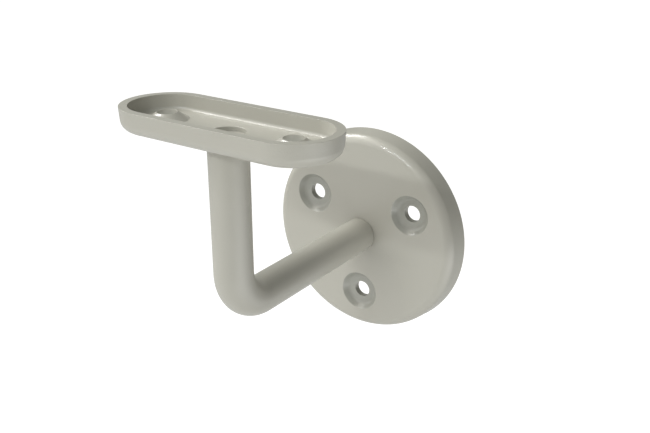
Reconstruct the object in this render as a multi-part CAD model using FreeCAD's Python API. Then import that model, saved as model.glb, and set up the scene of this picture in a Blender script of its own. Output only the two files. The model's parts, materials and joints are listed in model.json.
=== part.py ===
import FreeCAD, Part
import math
import os

# Handrail bracket: a round wall plate, a bar bent once through a right angle and a
# round-ended tray under the rail. The origin is the centre of the wall plate on the wall:
# the wall is the plane Y = 0, the bar comes out along -Y, and +Z is up.

# Sheet that the wall plate and the rail tray are pressed from
sheet = 2.8
inner_r = 1.2
rim_break = 0.2

# Bar, over its coat
bar_d = 13.1
bend_r = 13.0
projection = 85.0

# Turned-down ends of the bar, which sit in the centre holes of the plate and the tray
spigot_d = 11.5
spigot_len = 1.4
spigot_fit = 0.05

# Wall plate, its diameter taken over the rim that lies on the wall
plate_d = 81.3
plate_depth = 9.5
plate_edge_r = 3.6
plate_draft = 7.0

# Rail tray, its length and width taken over the rim
tray_l = 80.0
tray_w = 30.0
tray_depth = 7.8
tray_edge_r = 3.8
tray_draft = 3.2
tray_rim_height = 65.0

# Wall screws, on a circle round the bar, as far out as leaves this much flat face
# between a screw seat and the rounded edge of the plate
wall_screws = 3
first_screw_angle = 30.0
seat_to_edge = 3.2
plate_lip_rise = 2.0

# Rail screws, one at the centre of each round end of the tray
tray_lip_rise = 2.4

# Screw seat, the same at every hole: a sunk cone with a flat floor round the bore, and on
# the inside of the dish a raised cone that ends in a narrow lip
bore_d = 6.5
seat_mouth_d = 15.8
seat_floor_d = 12.2
seat_depth = 2.3
seat_mouth_r = 0.4
seat_floor_r = 1.0
lip_foot_d = 14.2
lip_land = 0.15

# How closely an edge has to match the place or length that it is picked by
edge_match = 0.01

X_AXIS = FreeCAD.Vector(1, 0, 0)
Y_AXIS = FreeCAD.Vector(0, 1, 0)
Z_AXIS = FreeCAD.Vector(0, 0, 1)
ORIGIN = FreeCAD.Vector(0, 0, 0)


def point(out, up):
    """A point of a section: out from the axis, and up from the outside of the floor."""
    return FreeCAD.Vector(out, 0, up)


def line(start, end):
    return Part.LineSegment(start, end).toShape()


def arc(points):
    return Part.Arc(*points).toShape()


def corner(foot, floor_up, radius, draft):
    """Arc from a level floor up into a wall that leans outwards by the draft.

    foot is how far out the wall would meet the floor if the corner were sharp.
    """
    lean = math.radians(draft)
    centre_out = foot - radius * (1 - math.sin(lean)) / math.cos(lean)
    centre_up = floor_up + radius
    half_turn = (math.pi / 2 + lean) / 2
    on_floor = point(centre_out, floor_up)
    middle = point(centre_out + radius * math.cos(half_turn), centre_up - radius * math.sin(half_turn))
    on_wall = point(centre_out + radius * math.cos(lean), centre_up - radius * math.sin(lean))
    return on_floor, middle, on_wall


def outer_corner(rim, depth, edge_r, draft):
    """The rounded edge between the outside of a dish's floor and the outside of its wall."""
    return corner(rim - depth * math.tan(math.radians(draft)), 0, edge_r, draft)


def dish_section(rim, depth, edge_r, draft):
    """Half section of a pressed dish, with its floor down, from its axis out to its rim."""
    lean = math.radians(draft)
    wall = sheet / math.cos(lean)
    inner_foot = rim - wall - (depth - sheet) * math.tan(lean)
    outer = outer_corner(rim, depth, edge_r, draft)
    inner = corner(inner_foot, sheet, inner_r, draft)
    outer_rim = point(rim, depth)
    inner_rim = point(rim - wall, depth)
    edges = [
        line(ORIGIN, outer[0]),
        arc(outer),
        line(outer[2], outer_rim),
        line(outer_rim, inner_rim),
        line(inner_rim, inner[2]),
        arc(inner),
        line(inner[0], point(0, sheet)),
        line(point(0, sheet), ORIGIN),
    ]
    return Part.Face(Part.Wire(Part.__sortEdges__(edges)))


def level_edges(shape, up):
    """The edges that lie in the level plane at that height."""
    return [edge for edge in shape.Edges
            if abs(edge.BoundBox.ZMin - up) < edge_match and abs(edge.BoundBox.ZMax - up) < edge_match]


def round_dish():
    """The wall plate's dish: the section turned all the way round."""
    section = dish_section(plate_d / 2, plate_depth, plate_edge_r, plate_draft)
    return section.revolve(ORIGIN, Z_AXIS, 360)


def long_dish():
    """The tray's dish: the section run straight along X, and turned round at both ends."""
    section = dish_section(tray_w / 2, tray_depth, tray_edge_r, tray_draft)
    end = tray_l / 2 - tray_w / 2
    right_end = section.copy()
    right_end.rotate(ORIGIN, Z_AXIS, -90)
    right_end = right_end.revolve(ORIGIN, Z_AXIS, 180)
    left_end = right_end.copy()
    left_end.rotate(ORIGIN, Z_AXIS, 180)
    right_end.translate(X_AXIS * end)
    left_end.translate(X_AXIS * -end)
    side = section.copy()
    side.rotate(ORIGIN, Z_AXIS, 90)
    side.translate(X_AXIS * -end)
    back = side.extrude(X_AXIS * 2 * end)
    front = back.mirror(ORIGIN, Y_AXIS)
    return right_end.fuse([left_end, back, front]).removeSplitter()


def seat_reach():
    """How far the rounded mouth of a screw seat reaches from the screw's axis."""
    slope = math.atan2(2 * seat_depth, seat_mouth_d - seat_floor_d)
    return seat_mouth_d / 2 + seat_mouth_r * math.tan(slope / 2)


def seat_cutter():
    """What one screw hole takes away: the sunk seat, with a round inner corner, and the bore."""
    seat = Part.makeCone(seat_mouth_d / 2, seat_floor_d / 2, seat_depth)
    seat = seat.makeFillet(seat_floor_r, level_edges(seat, seat_depth))
    bore = Part.makeCylinder(bore_d / 2, 2 * tray_depth)
    return seat.fuse(bore)


def finish_dish(dish, depth, screw_places, lip_rise):
    """Add the raised lips, cut the screw seats and the bar's hole, and round the edges."""
    dish = dish.makeChamfer(rim_break, level_edges(dish, depth))
    for place in screw_places:
        lip = Part.makeCone(lip_foot_d / 2, bore_d / 2 + lip_land, lip_rise)
        lip.translate(place + Z_AXIS * sheet)
        dish = dish.fuse(lip)
    for place in screw_places:
        cutter = seat_cutter()
        cutter.translate(place)
        dish = dish.cut(cutter)
    mouths = [edge for edge in level_edges(dish, 0)
              if abs(edge.Length - math.pi * seat_mouth_d) < edge_match]
    dish = dish.makeFillet(seat_mouth_r, mouths)
    return dish.cut(Part.makeCylinder(spigot_d / 2 + spigot_fit, sheet))


def wall_plate():
    """Round dish with its floor away from the wall and its rim on it."""
    flat_face = outer_corner(plate_d / 2, plate_depth, plate_edge_r, plate_draft)[0].x
    circle_r = flat_face - seat_to_edge - seat_reach()
    places = []
    for number in range(wall_screws):
        angle = math.radians(first_screw_angle + 360 * number / wall_screws)
        places.append(FreeCAD.Vector(math.cos(angle), -math.sin(angle), 0) * circle_r)
    plate = finish_dish(round_dish(), plate_depth, places, plate_lip_rise)
    plate.rotate(ORIGIN, X_AXIS, -90)
    plate.translate(Y_AXIS * -plate_depth)
    return plate


def rail_tray():
    """Round-ended dish with its floor on the bar's upper end and its rim under the rail."""
    places = [X_AXIS * (side * (tray_l - tray_w) / 2) for side in (-1, 1)]
    tray = finish_dish(long_dish(), tray_depth, places, tray_lip_rise)
    tray.translate(FreeCAD.Vector(0, -projection, tray_rim_height - tray_depth))
    return tray


def arm_bar():
    """One round bar from the plate's face out to the post, and up to the tray's underside."""
    tray_under = tray_rim_height - tray_depth
    post_y = -projection
    bend_centre = FreeCAD.Vector(0, post_y + bend_r, bend_r)
    bend_start = FreeCAD.Vector(0, post_y + bend_r, 0)
    bend_end = FreeCAD.Vector(0, post_y, bend_r)
    arm_start = FreeCAD.Vector(0, -plate_depth, 0)
    arm = Part.makeCylinder(bar_d / 2, (arm_start - bend_start).Length, arm_start, -Y_AXIS)
    circle = Part.Wire(Part.Circle(bend_start, Y_AXIS, bar_d / 2).toShape())
    bend = Part.Face(circle).revolve(bend_centre, -X_AXIS, 90)
    post = Part.makeCylinder(bar_d / 2, tray_under - bend_r, bend_end, Z_AXIS)
    plate_spigot = Part.makeCylinder(spigot_d / 2, spigot_len, arm_start, Y_AXIS)
    tray_spigot = Part.makeCylinder(spigot_d / 2, spigot_len, FreeCAD.Vector(0, post_y, tray_under), Z_AXIS)
    return arm.fuse([bend, post, plate_spigot, tray_spigot]).removeSplitter()


PIECES = {
    "wall_plate": wall_plate,
    "arm_bar": arm_bar,
    "rail_tray": rail_tray,
}

os.makedirs("parts", exist_ok=True)
for name, build_piece in PIECES.items():
    shape = build_piece()
    solid = shape.Solids[0]
    solid.exportStep("parts/" + name + ".step")
    print(name, "solids", len(shape.Solids), "valid", solid.isValid(), "volume mm3", round(solid.Volume, 1))
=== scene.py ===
import bmesh
import bpy
import json
import math
from mathutils import Matrix, Vector


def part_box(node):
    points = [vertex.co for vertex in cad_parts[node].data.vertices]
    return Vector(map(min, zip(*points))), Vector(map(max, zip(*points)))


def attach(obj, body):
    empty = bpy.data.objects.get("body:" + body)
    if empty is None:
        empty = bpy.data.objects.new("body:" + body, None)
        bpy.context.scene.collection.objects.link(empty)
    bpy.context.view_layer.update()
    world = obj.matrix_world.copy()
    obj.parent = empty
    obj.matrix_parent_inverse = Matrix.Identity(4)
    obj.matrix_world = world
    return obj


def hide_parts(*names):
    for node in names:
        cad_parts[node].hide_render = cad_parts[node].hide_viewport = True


# Handrail bracket: a round dished wall plate, a bar bent once through a right angle and a
# round-ended dished tray that carries the rail, all under one warm grey powder coat.
# Sizes of the bracket are in millimetres here and angles in degrees. Each mesh is scaled to
# metres as it is made, and the floor, lights and camera are in metres.

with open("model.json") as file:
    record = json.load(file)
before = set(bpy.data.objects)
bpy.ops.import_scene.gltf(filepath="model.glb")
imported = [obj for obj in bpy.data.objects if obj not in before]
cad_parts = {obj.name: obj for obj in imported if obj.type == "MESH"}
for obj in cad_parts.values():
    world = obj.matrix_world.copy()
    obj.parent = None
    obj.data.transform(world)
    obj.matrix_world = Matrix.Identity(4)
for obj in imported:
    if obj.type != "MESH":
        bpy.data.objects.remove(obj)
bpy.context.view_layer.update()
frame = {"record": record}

MM = 0.001


def size_mm(node):
    """Lowest corner and size of a node of the frame, in millimetres."""
    low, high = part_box(node)
    return [c / MM for c in low], [(h - c) / MM for c, h in zip(low, high)]


mounts = {mount["name"]: mount for mount in frame["record"]["mounts"]}
_, plate_size = size_mm("wall_plate")
_, bar_size = size_mm("arm_bar")
tray_low, tray_size = size_mm("rail_tray")

# Pressed sheet, under its coat
SHEET = 2.8
INNER_CORNER = 1.2
RIM_ROUND = 0.05

# Wall plate, its diameter taken over the rim that lies on the wall
PLATE_D = plate_size[0]
PLATE_DEPTH = plate_size[1]
PLATE_EDGE = 3.6
PLATE_DRAFT = 7.0
PLATE_LIP = 2.0

# Rail tray
TRAY_L, TRAY_W, TRAY_DEPTH = tray_size
TRAY_EDGE = 3.8
TRAY_DRAFT = 3.2
TRAY_LIP = 2.4
TRAY_UNDER = tray_low[2]
POST_Y = mounts["rail_screws"]["pos_m"][1] / MM

# Screw places
WALL_SCREWS = mounts["wall_screws"]["dims"]["count"]
WALL_SCREW_RING = mounts["wall_screws"]["dims"]["pcd_mm"] / 2
FIRST_SCREW_ANGLE = 30.0
RAIL_SCREW_SPACING = mounts["rail_screws"]["dims"]["spacing_x_mm"]
BORE_R = mounts["wall_screws"]["dims"]["hole_r_mm"]

# Screw seat: a sunk cone with a flat floor, and a raised cone with a narrow lip inside
SEAT_MOUTH_R = 7.9
SEAT_FLOOR_R = 6.1
SEAT_DEPTH = 2.3
SEAT_MOUTH_ROUND = 0.4
SEAT_FLOOR_ROUND = 2.0
BORE_EDGE = 0.15
LIP_FOOT_R = 7.1
LIP_LAND = 0.15
LIP_ROUND = 0.12
LIP_FOOT_ROUND = 0.6

# How far below the face, inside a screw seat, the painted shade grows to its full strength
SEAT_SHADE_FULL_DEPTH = 0.15

# Bar, over its coat, and its turned-down ends
BAR_R = bar_size[0] / 2
BEND_R = 13.0
SPIGOT_R = 5.75
SPIGOT_LEN = 1.4
SPIGOT_HOLE_R = 5.8
SHOULDER_ROUND = 0.3

# Powder coat: width of its orange peel, grain and clouds of tone, and how high the first two
# stand. The grain stands higher on the glossy top of the coat than on the pigment below.
PEEL = 1.5
PEEL_HEIGHT = 0.02
GRAIN = 0.5
GRAIN_HEIGHT = 0.02
GLOSS_GRAIN_HEIGHT = 0.1
CLOUD = 12.0

# How finely the noise of these patterns is broken up
FINE_DETAIL = 1.0
CLOUD_DETAIL = 3.0

# Its two close greys, which drift into each other in clouds, and the darker grey painted inside the
# screw seats as painted shade
COAT_GREYS = ("#B0AEA3", "#B3B1A7")
SEAT_SHADE_GREY = "#A1A198"

# Its gloss: how rough the pigment is between the grain's hollows and crests, how much of the
# glossy top shows over it, and how rough that is
PIGMENT_ROUGHNESS = (0.28, 0.36)
GLOSS_SHARE = 0.6
GLOSS_ROUGHNESS = 0.04
POLYESTER_IOR = 1.5

# Marks of the belt that the tray's wall was dressed with: their pitch, length and height
BELT_PITCH = 0.7
BELT_RUN = 14.0
BELT_HEIGHT = 0.04

# Fineness of the meshes: steps round a dish, round a screw seat or the bar, and along the bend
TURN_STEPS = 192
SMALL_TURN_STEPS = 96
BEND_STEPS = 48
ARC_STEP = math.radians(9)

# How far a section runs on beyond its outermost roundings. Those ends only give it a direction
# there, and aren't built.
RUN_ON = 1


def rounded(corners):
    """Section line through the corners (out, up, radius), as pairs of point and normal.

    The walk keeps the solid on its left, so that the normal is on its right. Each corner
    between the first and the last one is rounded to its radius.
    """
    points = [Vector(corner[:2]) for corner in corners]
    radii = [corner[2] for corner in corners]
    walk = [(b - a).normalized() for a, b in zip(points, points[1:])]
    section = [(points[0], Vector((walk[0].y, -walk[0].x)))]
    for place, radius, before, after in zip(points[1:], radii[1:], walk, walk[1:]):
        turn = math.atan2(before.cross(after), before.dot(after))
        centre_side = math.copysign(radius, turn)
        start = place - before * radius * math.tan(abs(turn) / 2)
        centre = start + Vector((-before.y, before.x)) * centre_side
        steps = max(2, math.ceil(abs(turn) / ARC_STEP))
        for step in range(steps + 1):
            along = before.copy()
            along.rotate(Matrix.Rotation(turn * step / steps, 2))
            normal = Vector((along.y, -along.x))
            section.append((centre + normal * centre_side, normal))
    section.append((points[-1], Vector((walk[-1].y, -walk[-1].x))))
    return section


class Skin:
    """A mesh that is built ring by ring, with the true normal at each of its points."""

    def __init__(self):
        self.bm = bmesh.new()
        self.normals = []
        self.seat_shade = []

    def ring(self, points, normals, seat_shade=0):
        """One ring of points; the last argument is the strength of the painted shade in a screw
        seat there, 1 at its darkest, and else 0.
        """
        self.normals.extend(normals)
        self.seat_shade.extend([seat_shade] * len(points))
        return [self.bm.verts.new(point) for point in points]

    def join(self, rings):
        """Faces between each ring and the next one."""
        for low, high in zip(rings, rings[1:]):
            for i in range(len(low)):
                j = (i + 1) % len(low)
                self.bm.faces.new((low[i], low[j], high[j], high[i]))

    def cap(self, ring, point, normal):
        """A fan that closes a ring at its middle."""
        self.normals.append(normal)
        self.seat_shade.append(0)
        middle = self.bm.verts.new(point)
        for i in range(len(ring)):
            self.bm.faces.new((ring[i], ring[(i + 1) % len(ring)], middle))

    def level(self, outline, holes):
        """A flat face inside one ring and round the others."""
        edges = []
        for ring in [outline, *holes]:
            for i in range(len(ring)):
                ends = (ring[i], ring[(i + 1) % len(ring)])
                edges.append(self.bm.edges.get(ends) or self.bm.edges.new(ends))
        bmesh.ops.triangle_fill(self.bm, use_beauty=True, use_dissolve=False, edges=edges)

    def piece(self, name, place):
        """The finished object, moved to its place and scaled to metres."""
        bmesh.ops.recalc_face_normals(self.bm, faces=self.bm.faces)
        mesh = bpy.data.meshes.new(name)
        self.bm.to_mesh(mesh)
        self.bm.free()
        mesh.transform(Matrix.Scale(MM, 4) @ place)
        mesh.shade_smooth()
        turn = place.to_3x3()
        normals = [(turn @ normal).normalized() for normal in self.normals]
        mesh.normals_split_custom_set_from_vertices(normals)
        # The strength of the painted shade in the screw seats goes with the mesh as an attribute
        mesh.attributes.new("painted seat shade", "FLOAT", "POINT").data.foreach_set("value", self.seat_shade)
        obj = bpy.data.objects.new(name, mesh)
        bpy.context.scene.collection.objects.link(obj)
        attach(obj, "root")
        return obj


def seat_shade_strength(out, up):
    """How strong the painted shade is at a point of a screw seat's section: 1 is darkest, deeper
    down in the seat, and 0 is none, on the face and on the raised lip."""
    return min(up / SEAT_SHADE_FULL_DEPTH, 1) if up < SHEET else 0


def turned(skin, section, centre=(0, 0), steps=TURN_STEPS, half_run=0, seat_shade=None):
    """Rings of a section turned about an upright axis, or run round an outline with two
    round ends that lie half_run to each side of the centre.

    The last argument tells from a point of the section how strong the painted shade of a screw seat
    is there.
    """
    angles = [2 * math.pi * step / steps for step in range(steps)]
    if half_run:
        # The quarter points are there twice, once on each round end, with a side between them
        quarter = steps // 4
        angles = angles[:quarter + 1] + angles[quarter:3 * quarter + 1] + angles[3 * quarter:]
    rings = []
    for (out, up), (n_out, n_up) in section:
        points = []
        normals = []
        for number, angle in enumerate(angles):
            across = math.cos(angle)
            beside = math.sin(angle)
            right = not half_run or number <= quarter or number > 3 * quarter + 1
            shift = half_run if right else -half_run
            points.append((centre[0] + shift + out * across, centre[1] + out * beside, up))
            normals.append(Vector((n_out * across, n_out * beside, n_up)))
        rings.append(skin.ring(points, normals, seat_shade(out, up) if seat_shade else 0))
    skin.join(rings)
    return rings


def dish(skin, rim, depth, edge, draft, screw_places, lip, half_run=0):
    """A pressed dish with its floor down, its screw seats and the hole for the bar's end."""
    lean = math.tan(math.radians(draft))
    wall = SHEET / math.cos(math.radians(draft))
    outside_foot = rim - depth * lean
    inside_foot = rim - wall - (depth - SHEET) * lean
    shell = rounded([
        (outside_foot - edge - RUN_ON, 0, 0),
        (outside_foot, 0, edge),
        (rim, depth, RIM_ROUND),
        (rim - wall, depth, RIM_ROUND),
        (inside_foot, SHEET, INNER_CORNER),
        (inside_foot - INNER_CORNER - RUN_ON, SHEET, 0),
    ])
    seat = rounded([
        (LIP_FOOT_R + LIP_FOOT_ROUND, SHEET, 0),
        (LIP_FOOT_R, SHEET, LIP_FOOT_ROUND),
        (BORE_R + LIP_LAND, SHEET + lip, LIP_ROUND / 2),
        (BORE_R, SHEET + lip, LIP_ROUND / 2),
        (BORE_R, SEAT_DEPTH, BORE_EDGE),
        (SEAT_FLOOR_R, SEAT_DEPTH, SEAT_FLOOR_ROUND),
        (SEAT_MOUTH_R, 0, SEAT_MOUTH_ROUND),
        (SEAT_MOUTH_R + SEAT_MOUTH_ROUND, 0, 0),
    ])
    hole = rounded([
        (SPIGOT_HOLE_R + RUN_ON, SHEET, 0),
        (SPIGOT_HOLE_R, SHEET, BORE_EDGE),
        (SPIGOT_HOLE_R, 0, BORE_EDGE),
        (SPIGOT_HOLE_R + RUN_ON, 0, 0),
    ])
    outline = turned(skin, shell[1:-1], half_run=half_run)
    # Each screw seat carries the strength of its painted shade
    holes = [turned(skin, seat[1:-1], place, SMALL_TURN_STEPS, seat_shade=seat_shade_strength)
             for place in screw_places]
    holes.append(turned(skin, hole[1:-1], steps=SMALL_TURN_STEPS))
    skin.level(outline[0], [rings[-1] for rings in holes])
    skin.level(outline[-1], [rings[0] for rings in holes])


def wall_plate():
    """Round dish, with its floor towards the room and its rim on the wall."""
    places = []
    for number in range(WALL_SCREWS):
        angle = math.radians(FIRST_SCREW_ANGLE + 360 * number / WALL_SCREWS)
        places.append((WALL_SCREW_RING * math.cos(angle), -WALL_SCREW_RING * math.sin(angle)))
    skin = Skin()
    dish(skin, PLATE_D / 2, PLATE_DEPTH, PLATE_EDGE, PLATE_DRAFT, places, PLATE_LIP)
    place = Matrix.Translation((0, -PLATE_DEPTH, 0)) @ Matrix.Rotation(math.radians(-90), 4, "X")
    return skin.piece("wall_plate_shell", place)


def rail_tray():
    """Round-ended dish, with its floor on the post and its rim under the rail."""
    places = [(side * RAIL_SCREW_SPACING / 2, 0) for side in (-1, 1)]
    skin = Skin()
    half_run = (TRAY_L - TRAY_W) / 2
    dish(skin, TRAY_W / 2, TRAY_DEPTH, TRAY_EDGE, TRAY_DRAFT, places, TRAY_LIP, half_run)
    place = Matrix.Translation((0, POST_Y, TRAY_UNDER))
    return skin.piece("rail_tray_shell", place)


def bar_axis(along):
    """Point and direction of the bar's centre line, that far from the face of the plate."""
    reach = -POST_Y - PLATE_DEPTH - BEND_R
    turn = min(max((along - reach) / BEND_R, 0), math.pi / 2)
    straight = min(along, reach)
    rise = max(along - reach - BEND_R * math.pi / 2, 0)
    point = Vector((
        0,
        -PLATE_DEPTH - straight - BEND_R * math.sin(turn),
        BEND_R - BEND_R * math.cos(turn) + rise,
    ))
    return point, Vector((0, -math.cos(turn), math.sin(turn)))


def arm_bar():
    """One round bar: out from the plate, once round the bend and up to the tray."""
    reach = -POST_Y - PLATE_DEPTH - BEND_R
    bend_end = reach + BEND_R * math.pi / 2
    top = bend_end + TRAY_UNDER - BEND_R
    plate_end = rounded([
        (0, -SPIGOT_LEN, 0),
        (SPIGOT_R, -SPIGOT_LEN, BORE_EDGE),
        (SPIGOT_R, 0, BORE_EDGE / 2),
        (BAR_R, 0, SHOULDER_ROUND),
        (BAR_R, reach, 0),
    ])
    bend = [(Vector((BAR_R, reach + (bend_end - reach) * step / BEND_STEPS)), Vector((1, 0)))
            for step in range(1, BEND_STEPS)]
    tray_end = rounded([
        (BAR_R, bend_end, 0),
        (BAR_R, top, SHOULDER_ROUND),
        (SPIGOT_R, top, BORE_EDGE / 2),
        (SPIGOT_R, top + SPIGOT_LEN, BORE_EDGE),
        (0, top + SPIGOT_LEN, 0),
    ])
    skin = Skin()
    side = Vector((1, 0, 0))
    rings = []
    for (out, along), (n_out, n_along) in (plate_end + bend + tray_end)[1:-1]:
        middle, ahead = bar_axis(along)
        beside = ahead.cross(side)
        points = []
        normals = []
        for step in range(SMALL_TURN_STEPS):
            angle = 2 * math.pi * step / SMALL_TURN_STEPS
            spoke = side * math.cos(angle) + beside * math.sin(angle)
            points.append(middle + spoke * out)
            normals.append(spoke * n_out + ahead * n_along)
        rings.append(skin.ring(points, normals))
    skin.join(rings)
    for ring, along, way in ((rings[0], -SPIGOT_LEN, -1), (rings[-1], top + SPIGOT_LEN, 1)):
        middle, ahead = bar_axis(along)
        skin.cap(ring, middle, ahead * way)
    return skin.piece("bent_bar", Matrix.Identity(4))


def linear(hex_colour):
    """The linear colour of an sRGB hex value."""
    channels = [int(hex_colour[i:i + 2], 16) / 255 for i in (1, 3, 5)]
    return [c / 12.92 if c <= 0.04045 else ((c + 0.055) / 1.055) ** 2.4 for c in channels]


def add_node(tree, kind, inputs=None, **settings):
    """A node with its settings. An input takes a value, or the output that feeds it."""
    node = tree.nodes.new(kind)
    for name, value in settings.items():
        setattr(node, name, value)
    for name, value in (inputs or {}).items():
        if isinstance(value, bpy.types.NodeSocket):
            tree.links.new(value, node.inputs[name])
        else:
            node.inputs[name].default_value = value
    return node


def powder_coat(name, belt=False):
    """Polyester powder coat, satin, sprayed dry and baked on zinc or steel.

    The powder melts to a skin with a soft orange peel about 1.5 mm from crest to crest, and
    a fine grain on top that breaks the highlights into specks. The real grain is about 0.1 mm
    wide, too fine to show here, so it is drawn at 0.5 mm. The coat's resin-rich surface is
    glossier than the pigment below, which gives each highlight a sharp core in a soft glow.
    In the sunk seats the colour is painted darker and greyer, as painted shade in the recesses.
    With belt, faint level marks of dressing show through on upright walls.
    They too are finer on the real wall than they are drawn here.
    """
    material = bpy.data.materials.new(name)
    material.use_nodes = True
    tree = material.node_tree
    shader = tree.nodes["Principled BSDF"]
    place = add_node(tree, "ShaderNodeTexCoord").outputs["Object"]
    peel, grain, clouds = [
        add_node(tree, "ShaderNodeTexNoise", {
            "Vector": place,
            "Scale": 1 / (width * MM),
            "Detail": detail,
        }).outputs["Fac"]
        for width, detail in ((PEEL, FINE_DETAIL), (GRAIN, FINE_DETAIL), (CLOUD, CLOUD_DETAIL))
    ]

    greys = [(*linear(grey), 1) for grey in COAT_GREYS]
    full = add_node(tree, "ShaderNodeMix", {
        "Factor": clouds,
        "A": greys[0],
        "B": greys[1],
    }, data_type="RGBA")
    # Painted shade: the base colour turns to a darker, greyer tone deep in the screw seats
    seat_shade = add_node(tree, "ShaderNodeAttribute", attribute_name="painted seat shade")
    colour = add_node(tree, "ShaderNodeMix", {
        "Factor": seat_shade.outputs["Fac"],
        "A": full.outputs["Result"],
        "B": (*linear(SEAT_SHADE_GREY), 1),
    }, data_type="RGBA")
    tree.links.new(colour.outputs["Result"], shader.inputs["Base Color"])

    low, high = PIGMENT_ROUGHNESS
    rough = add_node(tree, "ShaderNodeMapRange", {"Value": grain, "To Min": low, "To Max": high})
    tree.links.new(rough.outputs["Result"], shader.inputs["Roughness"])

    relief = add_node(tree, "ShaderNodeBump", {"Height": peel, "Distance": PEEL_HEIGHT * MM})
    if belt:
        along = BELT_PITCH / BELT_RUN
        drawn_out = add_node(tree, "ShaderNodeMapping", {
            "Vector": place,
            "Scale": (along, along, 1),
        })
        marks = add_node(tree, "ShaderNodeTexNoise", {
            "Vector": drawn_out.outputs["Vector"],
            "Scale": 1 / (BELT_PITCH * MM),
            "Detail": FINE_DETAIL,
        })
        relief = add_node(tree, "ShaderNodeBump", {
            "Height": marks.outputs["Fac"],
            "Distance": BELT_HEIGHT * MM,
            "Normal": relief.outputs["Normal"],
        })
    for socket, height in (("Normal", GRAIN_HEIGHT), ("Coat Normal", GLOSS_GRAIN_HEIGHT)):
        grained = add_node(tree, "ShaderNodeBump", {
            "Height": grain,
            "Distance": height * MM,
            "Normal": relief.outputs["Normal"],
        })
        tree.links.new(grained.outputs["Normal"], shader.inputs[socket])

    shader.inputs["Coat Weight"].default_value = GLOSS_SHARE
    shader.inputs["Coat Roughness"].default_value = GLOSS_ROUGHNESS
    shader.inputs["IOR"].default_value = POLYESTER_IOR
    return material


# Floor, in matt light grey paint
FLOOR_Z = -0.30
FLOOR_HALF = 8.0
FLOOR_PAINT = "#CACAC9"
FLOOR_ROUGHNESS = 0.9

# The floor gives off a little light of its own in round spots: azimuth and distance of each
# one's middle, then how far it is even, how far it reaches and its strength. The pale spots are
# for the picture alone, and keep the floor pale behind the bracket. The light spots light the
# bracket from below.
PALE_SPOTS = (
    (-145, 2.20, 2.00, 2.60, 0.62),
    (-145, 5.20, 2.00, 4.40, 0.14),
)
LIGHT_SPOTS = (
    (60, 0.62, 0.00, 0.60, 0.95),
    (90, 0.72, 0.10, 0.70, 1.35),
    (-15, 0.80, 0.30, 1.00, 0.34),
)

# Middle of the bracket, which the lights face
AIM = Vector((0.0, -0.040, 0.020))

# Soft surround: how fast its lobes fade, and each one's azimuth from the front, height,
# strength and tint
LOBE_FADE = 2.0
SURROUND = (
    (-45, 5, 1.32, "#FFFDFE"),
    (-90, 45, 0.52, "#FBFFF9"),
    (30, 45, 0.31, "#FBFFFD"),
    (75, 10, 0.20, "#FFFFFF"),
    (0, 90, 0.08, "#FFFFFF"),
)

# Softboxes: azimuth, height and distance, then width, depth, power in watts and tint
SOFTBOXES = {
    "left light": (-98, 48, 1.2, 0.46, 0.46, 6.2, "#FFFFFE"),
    "front light": (-5, 33, 1.2, 0.36, 0.045, 3.0, "#FAFEFF"),
    "left softbox": (-60, 55, 1.2, 0.60, 0.60, 2.0, "#FFF9EE"),
}


def toward(azimuth, height):
    """The direction at that azimuth from the front, towards the right, and that height."""
    across = math.radians(azimuth)
    up = math.radians(height)
    return Vector((math.sin(across) * math.cos(up), -math.cos(across) * math.cos(up), math.sin(up)))


def glow(tree, spots):
    """The light that the floor gives off in these spots."""
    place = add_node(tree, "ShaderNodeTexCoord").outputs["Object"]
    total = 0.0
    for azimuth, distance, even, reach, strength in spots:
        middle = toward(azimuth, 0) * distance + Vector((0, 0, FLOOR_Z))
        away = add_node(tree, "ShaderNodeVectorMath", {0: place, 1: middle}, operation="DISTANCE")
        spot = add_node(tree, "ShaderNodeMapRange", {
            "Value": away.outputs["Value"],
            "From Min": reach,
            "From Max": even,
        }, interpolation_type="SMOOTHSTEP")
        total = add_node(tree, "ShaderNodeMath", {
            0: spot.outputs["Result"],
            1: strength,
            2: total,
        }, operation="MULTIPLY_ADD").outputs[0]
    return total


def stage_floor():
    """Plain pale floor, well below the bracket, which hangs free as it does on a wall."""
    mesh = bpy.data.meshes.new("floor")
    sides = ((-1, -1), (1, -1), (1, 1), (-1, 1))
    corners = [(FLOOR_HALF * x, FLOOR_HALF * y, FLOOR_Z) for x, y in sides]
    mesh.from_pydata(corners, [], [(0, 1, 2, 3)])
    floor = bpy.data.objects.new("floor", mesh)
    bpy.context.scene.collection.objects.link(floor)
    material = bpy.data.materials.new("floor paint")
    material.use_nodes = True
    tree = material.node_tree
    shader = tree.nodes["Principled BSDF"]
    shader.inputs["Base Color"].default_value = (*linear(FLOOR_PAINT), 1)
    shader.inputs["Roughness"].default_value = FLOOR_ROUGHNESS
    shader.inputs["Emission Color"].default_value = (1, 1, 1, 1)
    in_picture = add_node(tree, "ShaderNodeLightPath").outputs["Is Camera Ray"]
    both = add_node(tree, "ShaderNodeMath", {
        0: glow(tree, PALE_SPOTS),
        1: in_picture,
        2: glow(tree, LIGHT_SPOTS),
    }, operation="MULTIPLY_ADD")
    tree.links.new(both.outputs[0], shader.inputs["Emission Strength"])
    mesh.materials.append(material)


def softbox(name, azimuth, height, distance, width, depth, power, tint):
    """A round or oval softbox that faces the bracket."""
    data = bpy.data.lights.new(name, "AREA")
    data.shape = "ELLIPSE"
    data.size = width
    data.size_y = depth
    data.energy = power
    data.color = linear(tint)
    light = bpy.data.objects.new(name, data)
    way = toward(azimuth, height)
    light.location = AIM + way * distance
    light.rotation_euler = way.to_track_quat("Z", "Y").to_euler()
    bpy.context.scene.collection.objects.link(light)


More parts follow.
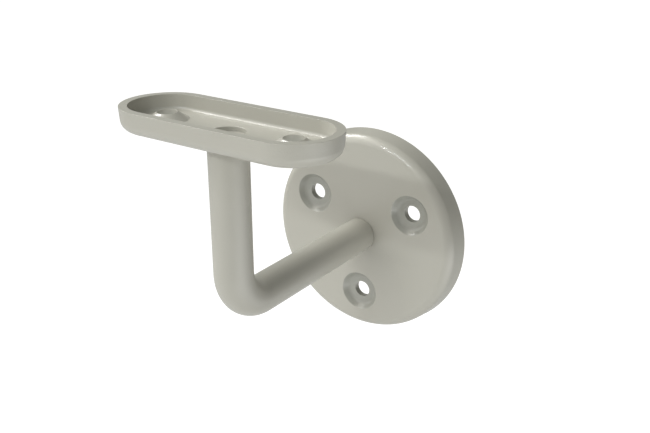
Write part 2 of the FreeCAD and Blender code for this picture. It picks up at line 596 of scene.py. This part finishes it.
def soft_surround():
    """A white tent round the bracket, in lobes that fade out at a right angle to each."""
    world = bpy.data.worlds.new("soft surround")
    world.use_nodes = True
    tree = world.node_tree
    way = add_node(tree, "ShaderNodeTexCoord").outputs["Generated"]
    total = (0, 0, 0)
    for azimuth, height, strength, tint in SURROUND:
        facing = add_node(tree, "ShaderNodeVectorMath", {
            0: way,
            1: toward(azimuth, height),
        }, operation="DOT_PRODUCT")
        lit = add_node(tree, "ShaderNodeMath", {
            0: facing.outputs["Value"],
            1: 0.0,
        }, operation="MAXIMUM")
        soft = add_node(tree, "ShaderNodeMath", {
            0: lit.outputs[0],
            1: LOBE_FADE,
        }, operation="POWER")
        total = add_node(tree, "ShaderNodeVectorMath", {
            0: soft.outputs[0],
            1: Vector(linear(tint)) * strength,
            2: total,
        }, operation="MULTIPLY_ADD").outputs[0]
    tree.links.new(total, tree.nodes["Background"].inputs["Color"])
    bpy.context.scene.world = world


# Camera: where the photograph was taken from, worked out from the bracket's outline. The sensor
# and the lens are in millimetres.
CAMERA_PLACE = (0.169907, -0.277429, 0.135553)
CAMERA_AZIMUTH = 34.867
CAMERA_DOWN = 22.025
CAMERA_ROLL = -0.033
SENSOR = 36.0
LENS = 48.569
CLIP_START = 0.01


def photo_camera():
    """The camera at the photograph's place, angle and lens."""
    data = bpy.data.cameras.new("photo")
    data.sensor_width = SENSOR
    data.lens = LENS
    data.clip_start = CLIP_START
    camera = bpy.data.objects.new("photo", data)
    turn = (
        Matrix.Rotation(math.radians(CAMERA_AZIMUTH), 4, "Z")
        @ Matrix.Rotation(math.radians(90 - CAMERA_DOWN), 4, "X")
        @ Matrix.Rotation(math.radians(CAMERA_ROLL), 4, "Z")
    )
    camera.matrix_world = Matrix.Translation(CAMERA_PLACE) @ turn
    bpy.context.scene.collection.objects.link(camera)
    bpy.context.scene.camera = camera


BUILDERS = {
    "wall_plate": wall_plate,
    "arm_bar": arm_bar,
    "rail_tray": rail_tray,
}

for node, build_piece in BUILDERS.items():
    shown = build_piece()
    shown.data.materials.append(powder_coat(shown.name + " powder coat", belt=node == "rail_tray"))
    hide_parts(node)

stage_floor()
soft_surround()
for name, settings in SOFTBOXES.items():
    softbox(name, *settings)
photo_camera()
bpy.context.scene.view_settings.view_transform = "Standard"

bpy.context.view_layer.update()
